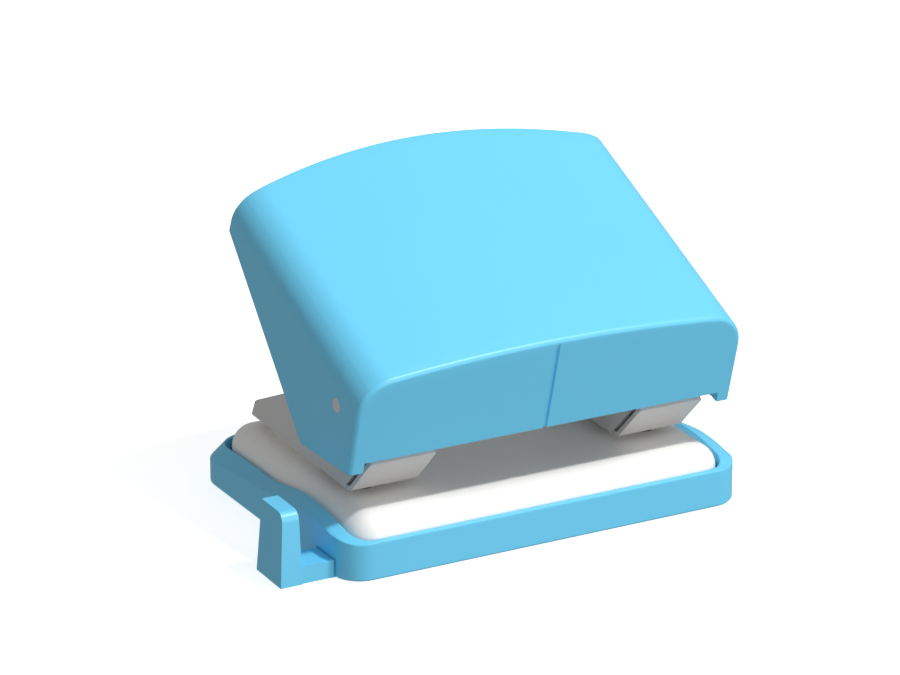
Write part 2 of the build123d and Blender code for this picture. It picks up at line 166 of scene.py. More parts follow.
def give_wall(thing, thickness):
    """A wall of this many millimetres, grown inward from the outer skin."""
    wall = thing.modifiers.new("wall", "SOLIDIFY")
    wall.thickness = thickness * MM
    wall.offset = -1.0
    wall.use_even_offset = True
    wall.use_quality_normals = True
    return thing


def soften(thing, width, segments=2, angle=50.0):
    """Small round edges, which catch the light as a real edge does."""
    bevel = thing.modifiers.new("edges", "BEVEL")
    bevel.width = width * MM
    bevel.segments = segments
    bevel.limit_method = "ANGLE"
    bevel.angle_limit = math.radians(angle)
    bevel.harden_normals = True
    bevel.use_clamp_overlap = True
    return thing


def placed(thing, body, slot, material, *nodes):
    """The piece gets its finish, rides on its body and stands for its CAD parts."""
    thing.data.materials.clear()
    thing.data.materials.append(material)
    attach(thing, body)
    if nodes:
        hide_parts(*nodes)
    print(f"{thing.name}: {len(thing.data.vertices)} points, {len(thing.data.polygons)} faces")
    return thing

# %% [markdown]
# ## Materials
#
# Each finish starts from what the real surface is. One function turns a hex colour into the
# linear numbers that Blender wants, one adds a node with its settings and links, and one
# makes the start that all the finishes share: a Principled BSDF and the position in the
# object in metres.

# %% Material helpers
def linear(hex_colour):
    """sRGB hex to linear RGBA: c/12.92 near black, ((c+0.055)/1.055)^2.4 above it."""
    values = np.array([int(hex_colour[i:i + 2], 16) for i in (1, 3, 5)]) / 255
    values = np.where(values <= 0.04045, values / 12.92, ((values + 0.055) / 1.055) ** 2.4)
    return (*values.tolist(), 1.0)


def add(tree, kind, inputs=None, **settings):
    """Add a node. settings are its properties, and inputs gives each socket a value or the
    output socket that is linked to it."""
    node = tree.nodes.new(kind)
    for name, value in settings.items():
        setattr(node, name, value)
    for name, value in (inputs or {}).items():
        if isinstance(value, bpy.types.NodeSocket):
            tree.links.new(value, node.inputs[name])
        else:
            node.inputs[name].default_value = value
    return node


def start_finish(name, colour, roughness, metallic=0.0):
    """A material with its shader, and the object coordinates that its patterns read."""
    material = bpy.data.materials.new(name)
    material.use_nodes = True
    tree = material.node_tree
    shader = tree.nodes["Principled BSDF"]
    shader.inputs["Base Color"].default_value = linear(colour)
    shader.inputs["Roughness"].default_value = roughness
    shader.inputs["Metallic"].default_value = metallic
    place = add(tree, "ShaderNodeTexCoord").outputs["Object"]
    return material, tree, shader, place


def grain(tree, place, size_mm, detail=3.0, stretch=(1.0, 1.0, 1.0)):
    """Noise whose bumps are about size_mm across: the scale is 1 / size in metres."""
    spread = add(tree, "ShaderNodeMapping", {"Vector": place, "Scale": stretch})
    noise = add(tree, "ShaderNodeTexNoise", {"Vector": spread.outputs["Vector"],
                "Scale": 1 / (size_mm * MM), "Detail": detail})
    return noise.outputs["Fac"]


def spread_between(tree, value, low, high):
    """A 0..1 pattern carried to low..high."""
    return add(tree, "ShaderNodeMapRange", {"Value": value, "To Min": low, "To Max": high}
               ).outputs["Result"]


def roughen(tree, shader, height, distance_mm, strength=1.0):
    """A bump of this height in millimetres goes to the shader's normal."""
    bump = add(tree, "ShaderNodeBump", {"Height": height, "Distance": distance_mm * MM,
                                        "Strength": strength})
    tree.links.new(bump.outputs["Normal"], shader.inputs["Normal"])


print("a mid grey, #808080, is", round(linear("#808080")[0], 3))

# %% [markdown]
# The blue parts are injection-moulded ABS. Its IOR is about 1.54 and it is satin rather than
# glossy, because the mould was lightly spark-eroded, which leaves a grain of some tenths of a
# millimetre. The pigment is even, with only a faint cloudiness where the melt flowed.

# %% Moulded ABS
def moulded_abs(name, colour, deeper, roughness):
    """Satin ABS: spark-eroded grain 0.35 mm across and 0.004 mm high, clouds 25 mm wide."""
    material, tree, shader, place = start_finish(name, colour, roughness)
    shader.inputs["IOR"].default_value = 1.54
    cloud = grain(tree, place, 25.0, 2.0)
    tint = add(tree, "ShaderNodeMix", {"Factor": spread_between(tree, cloud, 0.0, 0.5)},
               data_type="RGBA")
    tint.inputs["A"].default_value = linear(colour)
    tint.inputs["B"].default_value = linear(deeper)
    tree.links.new(tint.outputs["Result"], shader.inputs["Base Color"])
    fine = grain(tree, place, 0.35, 2.0)
    tree.links.new(spread_between(tree, fine, roughness - 0.05, roughness + 0.05),
                   shader.inputs["Roughness"])
    roughen(tree, shader, fine, 0.004)
    return material


abs_handle = moulded_abs("satin_moulded_abs_handle", "#71D6FC", "#6DD2F9", 0.42)
abs_tray = moulded_abs("satin_moulded_abs_tray", "#6FD4FB", "#6BD0F8", 0.40)
print("ABS finishes:", abs_handle.name, abs_tray.name)

# %% [markdown]
# The plate is pressed steel with a white powder coat. The powder melts into a film that has a
# slight orange peel, ripples 2 to 3 mm apart and a few micrometres high, under a soft gloss.
# The brackets have a thinner grey coat over sheet steel: it is duller, and the sheet's rolling
# lines still show through it.

# %% Coated steel
powder_white, tree, shader, place = start_finish("white_powder_coated_steel", "#FFFDF9", 0.36)
shader.inputs["IOR"].default_value = 1.5
peel = grain(tree, place, 2.4, 1.0)
tree.links.new(spread_between(tree, peel, 0.32, 0.42), shader.inputs["Roughness"])
roughen(tree, shader, peel, 0.012)

grey_coat, tree, shader, place = start_finish("grey_coated_sheet_steel", "#D9D6D3", 0.45)
shader.inputs["IOR"].default_value = 1.5
rolled = grain(tree, place, 0.5, 3.0, stretch=(1.0, 0.06, 1.0))
shade = add(tree, "ShaderNodeMix", {"Factor": rolled}, data_type="RGBA")
shade.inputs["A"].default_value = linear("#D6D3D0")
shade.inputs["B"].default_value = linear("#DDDBD8")
tree.links.new(shade.outputs["Result"], shader.inputs["Base Color"])
tree.links.new(spread_between(tree, rolled, 0.38, 0.52), shader.inputs["Roughness"])
roughen(tree, shader, rolled, 0.004)
print("coats:", powder_white.name, grey_coat.name)

# %% [markdown]
# The bare metals differ in how they were made. Zinc plate is bright with a cloudy spangle,
# ground tool steel has fine rings round its length, spring wire and clips are drawn and
# darker, and the axle is cut from bright drawn rod with lines along it. All are full metals,
# so the IOR stays at its default and the colour is the metal's own.

# %% Bare metals
def bare_metal(name, colour, roughness, size_mm, stretch, height_mm):
    """A metal with lines or spangle: noise stretched along the way that it was worked."""
    material, tree, shader, place = start_finish(name, colour, roughness, metallic=1.0)
    lines = grain(tree, place, size_mm, 3.0, stretch)
    tree.links.new(spread_between(tree, lines, roughness - 0.08, roughness + 0.08),
                   shader.inputs["Roughness"])
    roughen(tree, shader, lines, height_mm)
    return material


zinc = bare_metal("bright_zinc_plate", "#C9CACC", 0.30, 1.6, (1, 1, 1), 0.003)
tool_steel = bare_metal("ground_tool_steel", "#B9BABC", 0.24, 0.25, (0.05, 0.05, 1), 0.002)
spring_wire = bare_metal("drawn_spring_wire", "#8E9093", 0.32, 0.3, (1, 1, 1), 0.002)
bright_rod = bare_metal("bright_drawn_rod", "#DADADB", 0.34, 0.25, (0.03, 1, 1), 0.002)

nylon, tree, shader, place = start_finish("natural_moulded_nylon", "#E4DFCF", 0.5)
shader.inputs["IOR"].default_value = 1.53
shader.inputs["Subsurface Weight"].default_value = 0.15
shader.inputs["Subsurface Scale"].default_value = 1.0 * MM
waxy = grain(tree, place, 0.6, 2.0)
tree.links.new(spread_between(tree, waxy, 0.44, 0.56), shader.inputs["Roughness"])
roughen(tree, shader, waxy, 0.003)
print("metals:", zinc.name, tool_steel.name, spring_wire.name, bright_rod.name, nylon.name)

# %% [markdown]
# ## The handle cover
#
# The cover is one moulding, so it is one skin with a wall grown inward. Seen along its slope
# it is an arch: two straight legs, two round shoulders and a slightly crowned top. That arch
# is carried along the slope. Near each end it shrinks by a quarter circle, which makes the
# round edge, and from there the front and rear walls drop to the lower edge.
#
# The shape is written in the handle's own directions, along its slope and square to it,
# measured from the axle.

# %% Handle directions and arch
SLOPE = math.radians(23.2)
HALF_WIDTH = cover_high[0]
TOP, CROWN_R, SHOULDER_R = 16.23, 420.0, 9.5
FRONT_FOOT, FRONT_HEAD = (-11.82, -9.30), (-8.29, 15.95)      # front wall, (along, up)
TAB_FOOT, HEEL, TAIL = (-12.20, -12.07), (11.49, -23.20), (64.60, 1.32)
REAR_MIDDLE, REAR_BOW_X = 71.4, 46.7


def handle_point(x, along, up):
    """From handle directions to the frame: y = Y + a cos s - h sin s, z = Z + a sin s + h cos s."""
    y = AXLE[1] + along * math.cos(SLOPE) - up * math.sin(SLOPE)
    z = AXLE[2] + along * math.sin(SLOPE) + up * math.cos(SLOPE)
    return np.stack(np.broadcast_arrays(x, y, z), axis=-1)


def front_wall(up):
    """Where the front wall is at this height: a straight line from foot to head."""
    lean = (FRONT_HEAD[0] - FRONT_FOOT[0]) / (FRONT_HEAD[1] - FRONT_FOOT[1])
    return FRONT_FOOT[0] + (up - FRONT_FOOT[1]) * lean


def rear_wall(x):
    """Square at the sides and bowed between: the larger of the two, blended over 1 mm."""
    bow = REAR_MIDDLE - (REAR_MIDDLE - TAIL[0]) * (x / REAR_BOW_X) ** 2
    return TAIL[0] + 0.5 * (bow - TAIL[0] + np.sqrt((bow - TAIL[0]) ** 2 + 0.25))


def lower_edge(along):
    """Height of the side walls' lower edge behind the heel."""
    rise = (TAIL[1] - HEEL[1]) / (TAIL[0] - HEEL[0])
    return HEEL[1] + (along - HEEL[0]) * rise


centre_x = HALF_WIDTH - SHOULDER_R
centre_up = TOP - CROWN_R + math.sqrt((CROWN_R - SHOULDER_R) ** 2 - centre_x ** 2)
tangent = math.asin(centre_x / (CROWN_R - SHOULDER_R))
tab_turn = math.acos((HALF_WIDTH - 3.8 - centre_x) / (SHOULDER_R - 1.1))
shoulder_turn = np.sort(np.append(np.linspace(0, math.pi / 2 - tangent, 14),
                                  [tab_turn - 0.004, tab_turn + 0.004]))
groove_x = np.array([0.55, 0.30])
crown_x = np.concatenate([np.linspace(CROWN_R * math.sin(tangent), 2.0, 18)[1:], groove_x])
crown_turn = np.concatenate([-crown_x, crown_x[::-1]]) / CROWN_R


def arch(inset):
    """x and height round the arch, left shoulder to right shoulder, drawn in by inset.
    Shoulder: centre + (r - inset)(cos t, sin t). Crown: the same about a far lower centre."""
    r = SHOULDER_R - inset
    side_x = centre_x + r * np.cos(shoulder_turn)
    side_up = centre_up + r * np.sin(shoulder_turn)
    x = np.concatenate([-side_x, (CROWN_R - inset) * np.sin(crown_turn), side_x[::-1]])
    up = np.concatenate([side_up, TOP - CROWN_R + (CROWN_R - inset) * np.cos(crown_turn),
                         side_up[::-1]])
    return x, up


print(f"arch: {len(arch(0)[0])} columns, shoulders start {centre_up:.2f} mm above the axle")

# %% [markdown]
# One row of the grid goes up the left leg, over the arch and down the right leg. A leg is
# ruled between the shoulder and the lower edge, whose corner at the heel falls exactly on a
# row. The fractions down a leg are also the rows of the front and rear walls, so that their
# points meet and merge.

# %% Handle cover
FRONT_ROUND, REAR_ROUND = 1.1, 0.6
wall_normal = math.atan2(FRONT_HEAD[0] - FRONT_FOOT[0], FRONT_HEAD[1] - FRONT_FOOT[1])
tab_share = (centre_up - FRONT_FOOT[1]) / (centre_up - TAB_FOOT[1])
down = np.concatenate([np.linspace(0, tab_share, 13), np.linspace(tab_share, 1, 3)[1:]])


def edge_point(front_gap, rear_gap, share):
    """A point of the lower edge: tab to heel for shares up to 0.35, heel to tail after it."""
    start = np.array(TAB_FOOT) + front_gap / 0.955 * (np.array(HEEL) - TAB_FOOT) / 26.17
    end = np.array([TAIL[0] - rear_gap, lower_edge(TAIL[0] - rear_gap)])
    if share <= 0.35:
        return start + (np.array(HEEL) - start) * share / 0.35
    return np.array(HEEL) + (end - HEEL) * (share - 0.35) / 0.65


def cover_row(inset, front_gap, rear_gap, share):
    """One row: the arch drawn in by inset, at this share of the way from front to rear."""
    x, up = arch(inset)
    near = front_wall(up) + front_gap / math.cos(wall_normal)
    far = rear_wall(x) - rear_gap
    along = near + (far - near) * share
    foot = edge_point(front_gap, rear_gap, share)
    leg_along = along[0] + (foot[0] - along[0]) * down[:0:-1]
    leg_up = up[0] + (foot[1] - up[0]) * down[:0:-1]
    return handle_point(np.concatenate([np.full(len(leg_up), x[0]), x, np.full(len(leg_up), x[-1])]),
                        np.concatenate([leg_along, along, leg_along[::-1]]),
                        np.concatenate([leg_up, up, leg_up[::-1]]))


quarter = np.linspace(math.pi / 2, 0, 8)
rows = [cover_row(FRONT_ROUND * (1 - math.cos(t)), FRONT_ROUND * (1 - math.sin(t)), REAR_ROUND, 0.0)
        for t in quarter]
rows += [cover_row(0, FRONT_ROUND, REAR_ROUND, share)
         for share in np.concatenate([np.linspace(0, 0.35, 9)[1:], np.linspace(0.35, 1, 15)[1:]])]
rows += [cover_row(REAR_ROUND * (1 - math.cos(t)), FRONT_ROUND, REAR_ROUND * (1 - math.sin(t)), 1.0)
         for t in quarter[::-1][1:]]
skin = np.stack(rows)

x, up = arch(FRONT_ROUND)
fall = np.clip(down / tab_share, 0, 1)[:, None]
front_up = np.where(np.abs(x) < HALF_WIDTH - 3.8, up + (FRONT_FOOT[1] - up) * fall,
                    up + (TAB_FOOT[1] - up) * down[:, None])
groove = 0.55 * (np.abs(x) < 0.45) * np.clip(fall * 12, 0, 1)
front = handle_point(x + 0 * fall, front_wall(front_up) + groove, front_up)

x, up = arch(REAR_ROUND)
fall = down[:, None]
rear_up = up + (lower_edge(rear_wall(x)) - up) * fall
rear = handle_point(x + 0 * fall, rear_wall(x) + 0 * fall, rear_up)

cover = new_object("handle_cover_skin", *join_parts(
    [(grid, grid_faces(*grid.shape[:2])) for grid in (skin, front, rear)]), crease=38, weld=0.02)
give_wall(cover, 2.5)
soften(cover, 0.25, 2, 55)
placed(cover, "handle", "handle_plastic", abs_handle, "handle_cover")

# %% [markdown]
# ## The base plate
#
# The plate is a pressing: a flat top that rolls down all round into a short skirt. Rings of a
# rounded rectangle make the skirt and the roll. The flat top has two punch holes and two
# raised pads, so it is triangulated between those outlines instead of being a grid.

# %% Rounded outlines and flat sheets
def rounded_outline(half_width, y_front, y_back, radius, per_side=12, per_corner=10, widen=0.0,
                    radius_back=None):
    """Points round a rectangle with quarter-circle corners, anticlockwise from the front
    right. widen is how much the half width grows from front to back."""
    turn = np.linspace(0, math.pi / 2, per_corner)
    rear = radius if radius_back is None else radius_back
    points = []
    for k, (sx, y, r) in enumerate([(1, y_front + radius, radius), (1, y_back - rear, rear),
                                    (-1, y_back - rear, rear), (-1, y_front + radius, radius)]):
        angle = turn + (k - 1) * math.pi / 2
        points.append(np.stack([sx * (half_width - r) + r * np.cos(angle),
                                y + r * np.sin(angle)], axis=-1))
    share = np.linspace(0, 1, per_side + 2)[1:-1, None]
    loop = np.concatenate([np.concatenate([points[k], points[k][-1] + share *
                                           (points[(k + 1) % 4][0] - points[k][-1])])
                           for k in range(4)])
    loop[:, 0] *= 1 + widen / half_width * (loop[:, 1] - y_front) / (y_back - y_front)
    return loop


def circle(x, y, radius, count=40):
    """Points round a circle."""
    turn = np.arange(count) * 2 * math.pi / count
    return np.stack([x + radius * np.cos(turn), y + radius * np.sin(turn)], axis=-1)


def is_inside(points, outline):
    """Even-odd rule for many points at once: count the outline's edges to the right."""
    a, b = outline, np.roll(outline, -1, axis=0)
    px, py = points[:, :1], points[:, 1:]
    crosses = (a[:, 1] > py) != (b[:, 1] > py)
    rise = np.where(b[:, 1] == a[:, 1], 1, b[:, 1] - a[:, 1])
    return np.sum(crosses & (px < a[:, 0] + (py - a[:, 1]) * (b[:, 0] - a[:, 0]) / rise),
                  axis=1) % 2 == 1


def flat_sheet(outline, holes, lines=()):
    """Triangles of a flat sheet with holes, as (points, faces). lines are pairs of outline
    points that an edge must join, such as bend lines."""
    loops = [np.asarray(outline)] + [np.asarray(hole) for hole in holes]
    points = np.concatenate(loops)
    starts = np.cumsum([0] + [len(loop) for loop in loops])
    edges = [(int(s + i), int(s + (i + 1) % len(loop)))
             for s, loop in zip(starts, loops) for i in range(len(loop))]
    edges += [(int(i), int(j)) for i, j in lines]
    flat, _, faces, *_ = delaunay_2d_cdt([Vector(p) for p in points.tolist()], edges, [], 0, 1e-5)
    flat, faces = np.array([tuple(p) for p in flat]), np.array(faces)
    middle = flat[faces].mean(axis=1)
    keep = is_inside(middle, loops[0])
    for hole in loops[1:]:
        keep &= ~is_inside(middle, hole)
    return flat, faces[keep]


print("a 4 mm circle holds", len(circle(0, 0, 2)), "points")

# %% Base plate
PLATE_T, EDGE_R, PLATE_CORNER = 1.5, 6.0, 6.3
plate_top, skirt_low = 15.0, 8.0
plate_back = plate_high[1]


def plate_ring(inset, z):
    """The plate's outline drawn in by inset, at height z."""
    ring = rounded_outline(plate_high[0] - inset, plate_low[1] + inset, plate_back - inset,
                           PLATE_CORNER - inset)
    return np.column_stack([ring, np.full(len(ring), z)])


roll = np.linspace(0, math.pi / 2, 12)
skirt = [plate_ring(0, skirt_low), plate_ring(0, plate_top - EDGE_R)]
skirt += [plate_ring(EDGE_R * (1 - math.cos(t)), plate_top - EDGE_R + EDGE_R * math.sin(t))
          for t in roll[1:]]
skirt = np.stack(skirt)

bracket_middle = (bracket_low[0] + bracket_high[0]) / 2
pad_loops = [rounded_outline(6.5, 12.0, 44.5, 3.0, 3, 6) + [side * bracket_middle, 0]
             for side in (-1, 1)]
holes = [circle(side * PIN_X, 0, 3.06) for side in (-1, 1)]
top, top_faces = flat_sheet(skirt[-1][:, :2], holes + pad_loops)
parts = [(skirt, grid_faces(len(skirt), skirt.shape[1], closed=True)),
         (np.column_stack([top, np.full(len(top), plate_top)]), top_faces)]
for loop in pad_loops:
    middle = loop.mean(axis=0)
    steps = [(0.0, 0.0), (0.0, 1.5), (0.15, 1.85), (0.5, 2.0)]
    wall = np.stack([np.column_stack([middle + (loop - middle) * (1 - inset / 6.5),
                                      np.full(len(loop), plate_top + z)]) for inset, z in steps])
    parts += [(wall, grid_faces(len(steps), len(loop), closed=True)),
              (wall[-1], [list(range(len(loop)))])]
plate = new_object("base_plate_skin", *join_parts(parts), crease=40, weld=0.01)
give_wall(plate, PLATE_T)
soften(plate, 0.2, 2, 60)

# The lugs of the hinge hang from the top inside: a tongue with a pin hole, one each side.
lug_turn = np.linspace(math.pi, 2 * math.pi, 24)
lug_outline = np.concatenate([
    np.column_stack([TRAY_PIVOT[1] + 2.6 * np.cos(lug_turn), TRAY_PIVOT[2] + 2.6 * np.sin(lug_turn)]),
    [[TRAY_PIVOT[1] + 2.6, plate_top - 1.3], [TRAY_PIVOT[1] - 2.6, plate_top - 1.3]]])
lug_flat, lug_faces = flat_sheet(lug_outline, [circle(TRAY_PIVOT[1], TRAY_PIVOT[2], 1.3, 24)])
lugs = [(np.column_stack([np.full(len(lug_flat), side * 30.0 + 0.75), lug_flat]), lug_faces)
        for side in (-1, 1)]
lug_piece = new_object("hinge_lugs", *join_parts(lugs), crease=40)
give_wall(lug_piece, 1.5)
soften(lug_piece, 0.15, 2, 60)
placed(plate, "punch_base", "plate_paint", powder_white, "base_plate")
placed(lug_piece, "punch_base", "plate_paint", powder_white)

# %% [markdown]
# ## The brackets
#
# A real bracket starts as a flat blank that is cut out and folded. It is made here the same
# way: the blank is triangulated with edges along its bend lines, and then a formula folds it.
# Past a bend line the distance becomes an angle, distance / radius, until the quarter turn is
# done, and after that it goes straight on up the cheek.

# %% Bracket blank
WEB_Z = bracket_low[2]
SHEET_T, BEND_R, LIP_R = 1.2, 1.8, 2.4
half_web = (bracket_high[0] - bracket_low[0]) / 2
bend_start = half_web - BEND_R
bend_end = bend_start + BEND_R * math.pi / 2
bracket_back, lip_tip = 48.5, -22.35
lip_start = -7.3 + LIP_R * math.tan(math.pi / 8)
lip_end = lip_start - LIP_R * math.pi / 4
BOSS_R = 6.0


def up_cheek(z):
    """Distance across the blank that ends at height z of the cheek."""
    return bend_end + z - (WEB_Z + BEND_R)


def blank_outline():
    """Right half of the blank from the middle of its back round to the lip's tip, then the
    same mirrored. Across the blank is first, along the bracket second."""
    bends = np.linspace(bend_start, bend_end, 7)
    turned = (bends - bend_start) / (bend_end - bend_start)
    back = np.column_stack([bends, bracket_back - 0.9 * turned ** 2])
    front = np.column_stack([bends, -4.0 - 1.8 * turned ** 1.5])
    boss = circle(up_cheek(AXLE[2]), AXLE[1], BOSS_R, 60)
    boss = boss[(boss[:, 0] > up_cheek(42.0)) | (boss[:, 1] < AXLE[1] - 5.7)]
    around = np.arctan2(boss[:, 1] - AXLE[1], boss[:, 0] - up_cheek(AXLE[2]))
    boss = boss[(around < math.radians(24.5)) & (around > math.radians(-103))]
    around = around[(around < math.radians(24.5)) & (around > math.radians(-103))]
    boss = boss[np.argsort(-around)]
    corner = np.linspace(0, math.pi / 2, 6)
    tip = np.column_stack([half_web - 1 + np.cos(corner), lip_tip + 1 - np.sin(corner)])
    lip_side = np.linspace(lip_start, lip_end, 6)
    half = np.concatenate([back, [[up_cheek(22.3), 45.9], [up_cheek(23.2), 44.4]], boss,
                           [[up_cheek(27.5), -14.5]], front[::-1], [[bend_start, -4.9]],
                           [[half_web - 0.4, -4.9], [half_web, -5.3]],
                           np.column_stack([np.full(6, half_web), lip_side]), tip])
    return half, len(back), len(half)


half, bends, total = blank_outline()
outline = np.concatenate([half, half[::-1] * [-1, 1]])
front_first = int(np.argmin(np.abs(half - [bend_end, -5.8]).sum(axis=1)))
lines = [(k, front_first + bends - 1 - k) for k in range(bends)]
lip_first = int(np.argmin(np.abs(half - [half_web, lip_start]).sum(axis=1)))
lines += [(2 * total - 1 - i, 2 * total - 1 - j) for i, j in lines]
lines += [(lip_first + k, 2 * total - 1 - lip_first - k) for k in range(6)]
print(f"blank: {len(outline)} outline points, {len(lines)} bend lines, "
      f"{np.ptp(outline[:, 0]):.1f} by {np.ptp(outline[:, 1]):.1f} mm")

# %% Folded brackets
def fold(flat):
    """Fold the blank: the lip up by 45 degrees about a line across, the cheeks by 90 along."""
    across, along = flat[:, 0], flat[:, 1]
    side, far = np.sign(across), np.abs(across)
    lip = along < lip_start - 1e-6
    turn = np.clip((lip_start - along) / LIP_R, 0, math.pi / 4)
    rest = np.clip(lip_end - along, 0, None)
    y = np.where(lip, lip_start - LIP_R * np.sin(turn) - rest * math.cos(math.pi / 4), along)
    z = np.where(lip, LIP_R * (1 - np.cos(turn)) + rest * math.sin(math.pi / 4), 0)
    cheek = (far > bend_start + 1e-6) & ((along > -4.85) | (far > half_web + 0.3))
    bend = np.clip((far - bend_start) / BEND_R, 0, math.pi / 2)
    x = np.where(cheek, side * (bend_start + BEND_R * np.sin(bend)), across)
    z = np.where(cheek, BEND_R * (1 - np.cos(bend)) + np.clip(far - bend_end, 0, None), z)
    y = np.where(cheek, along, y)
    return np.column_stack([x, y, WEB_Z + z])


for name, side in (("left_bracket", -1), ("right_bracket", 1)):
    bush_x = side * (PIN_X - bracket_middle)
    blank_holes = [circle(bush_x, 0, 4.02), circle(0, 20, 2), circle(0, 38, 2)]
    blank_holes += [circle(s * up_cheek(AXLE[2]), AXLE[1], 2.05) for s in (-1, 1)]
    flat, faces = flat_sheet(outline, blank_holes, lines)
    steel = new_object(name + "_folded", fold(flat) + [side * bracket_middle, 0, 0],
                       faces[:, ::-1], crease=30, weld=0.0005, turn=False)
    give_wall(steel, SHEET_T)
    soften(steel, 0.14, 2, 60)
    placed(steel, "punch_base", "bracket_steel", grey_coat, name)

# %% [markdown]
# ## The chip tray
#
# The tray is a moulded dish. One section is carried round its outline: up the outer wall,
# over a slanted band to the crest, down the inner wall to the floor. The crest swells beside
# the punch holes, and the wall below the band is lowest at the back. The outline has the same
# number of points at every height, so that the rows line up.

# %% Chip tray walls
TRAY_FLOOR, INNER_W = 1.6, 52.4
tray_front, tray_back = tray_low[1], tray_high[1]
tray_half_back = tray_high[0]
tray_half_front = 56.0
tray_half_back = 57.4


def smooth_step(value):
    """0 below 0, 1 above 1, and 3v^2 - 2v^3 between."""
    v = np.clip(value, 0, 1)
    return v * v * (3 - 2 * v)


def crest_height(y):
    """The rim: 13.1 mm beside the holes. It falls to the front as a parabola, and to the back
    as an S, and it is lowest at the back."""
    return (13.1 - 0.0055 * np.clip(2 - y, 0, None) ** 2 - 3.2 * smooth_step((y - 3) / 24)
            - 0.7 * smooth_step((y - 30) / 22))


def band_height(y):
    """Where the slanted band starts on the side walls: a blunt roof, 11.1 - 0.09 |y|, and up to
    1.3 mm higher beside the holes, where the band is narrow."""
    return 11.1 - 0.09 * np.sqrt(y ** 2 + 9) + 1.3 * np.exp(-((y + 9) / 12) ** 2)


def tray_outline(half_front, half_back, y_front, y_back, radius, radius_back):
    """One loop of the tray with dense sides, where its rim rises and falls."""
    return rounded_outline(half_front, y_front, y_back, radius, 44, 12, half_back - half_front,
                           radius_back)


outer = tray_outline(tray_half_front, tray_half_back, tray_front, tray_back, 7.5, 10.0)
foot = tray_outline(tray_half_front - 0.5, tray_half_back - 0.5, tray_front + 0.5,
                    tray_back - 0.5, 7.0, 9.5)
crest = tray_outline(INNER_W + 0.35, INNER_W + 0.35, tray_front + 0.6, tray_back - 0.9, 6.6, 7.4)
inner = tray_outline(INNER_W, INNER_W, tray_front + 1.6, tray_back - 2.0, 6.0, 6.0)

y = crest[:, 1]
at_front = smooth_step((tray_front + 9 - outer[:, 1]) / 8)
rim_z = np.maximum(crest_height(y), 10.0 * smooth_step((-10 - y) / 8))
band_z = np.minimum(band_height(outer[:, 1]) + at_front * 1.2, rim_z - 0.35)
levels = [(foot, 0 * y), (outer, 0 * y + 0.5), (outer, band_z - 0.5), (outer, band_z - 0.15)]
levels += [(outer + (crest - outer) * share, band_z + (rim_z - band_z) * share)
           for share in (0.06, 0.3, 0.6, 0.9)]
levels += [(crest, rim_z), (crest + (inner - crest) * 0.7, rim_z - 0.04), (inner, rim_z - 0.3),
           (inner, 0 * y + TRAY_FLOOR + 0.6), (inner + (inner.mean(axis=0) - inner) * 0.012,
                                               0 * y + TRAY_FLOOR)]
walls = np.stack([np.column_stack([loop, z]) for loop, z in levels])
columns = walls.shape[1]
tray_parts = [(walls, grid_faces(len(levels), columns, closed=True)),
              (walls[0], [list(range(columns))[::-1]]), (walls[-1], [list(range(columns))])]
print(f"tray: rim {rim_z.min():.1f} to {rim_z.max():.1f} mm high, {columns} points round")

# %% [markdown]
# Inside the tray are a tunnel for the sliding guide, ribs that hold the plate level, and the
# stubs that the plate's hinge turns on. The tunnel is a real opening: its block is joined to
# the tray and a bar is then cut out of both, from the left side to near the right.

# %% Tunnel, ribs and hinge stubs
def box_part(x0, x1, y0, y1, z0, z1):
    """The eight corners and six faces of a block, for joining and cutting."""
    xs, ys, zs = np.meshgrid([x0, x1], [y0, y1], [z0, z1], indexing="ij")
    faces = [(0, 1, 3, 2), (4, 6, 7, 5), (0, 4, 5, 1), (2, 3, 7, 6), (0, 2, 6, 4), (1, 5, 7, 3)]
    return np.stack([xs, ys, zs], axis=-1).reshape(-1, 3), faces


def bar_x(radius, x0, x1, y, z, count=32):
    """A round bar along X with chamfered ends, from circles of four radii."""
    c = min(0.25, radius / 4)
    stations = [(x0, 0.0), (x0, radius - c), (x0 + c, radius), (x1 - c, radius), (x1, radius - c), (x1, 0.0)]
    loops = [np.column_stack([np.full(count, x), circle(y, z, max(r, 1e-4), count)])
             for x, r in stations]
    return np.stack(loops), grid_faces(len(loops), count, closed=True)


def combined(thing, part, operation):
    """The thing joined with or cut by a closed shape, worked out at once and kept."""
    tool = new_object("tool", *part)
    change = thing.modifiers.new("change", "BOOLEAN")
    change.operation, change.object, change.solver = operation, tool, "EXACT"
    evaluated = thing.evaluated_get(bpy.context.evaluated_depsgraph_get())
    result = bpy.data.meshes.new_from_object(evaluated)
    thing.modifiers.clear()
    thing.data = result
    bpy.data.objects.remove(tool)
    return thing


tunnel_y0, tunnel_y1 = guide_low[1] - 0.2, -7.7
ceiling = 4.9
dish = new_object("chip_tray_skin", *join_parts(tray_parts), crease=32, weld=0.0005)
combined(dish, box_part(-INNER_W - 0.6, INNER_W + 0.6, tunnel_y0 - 1.2, tunnel_y1 + 1.2, 0.8,
                        ceiling + 1.2), "UNION")
combined(dish, box_part(-tray_half_back - 1, 51.5, tunnel_y0, tunnel_y1, -1, ceiling), "DIFFERENCE")
dish.data.polygons.foreach_set("use_smooth", np.ones(len(dish.data.polygons), bool))
dish.data.set_sharp_from_angle(angle=math.radians(32))
soften(dish, 0.18, 2, 50)
placed(dish, "chip_tray", "tray_plastic", abs_tray, "tray")

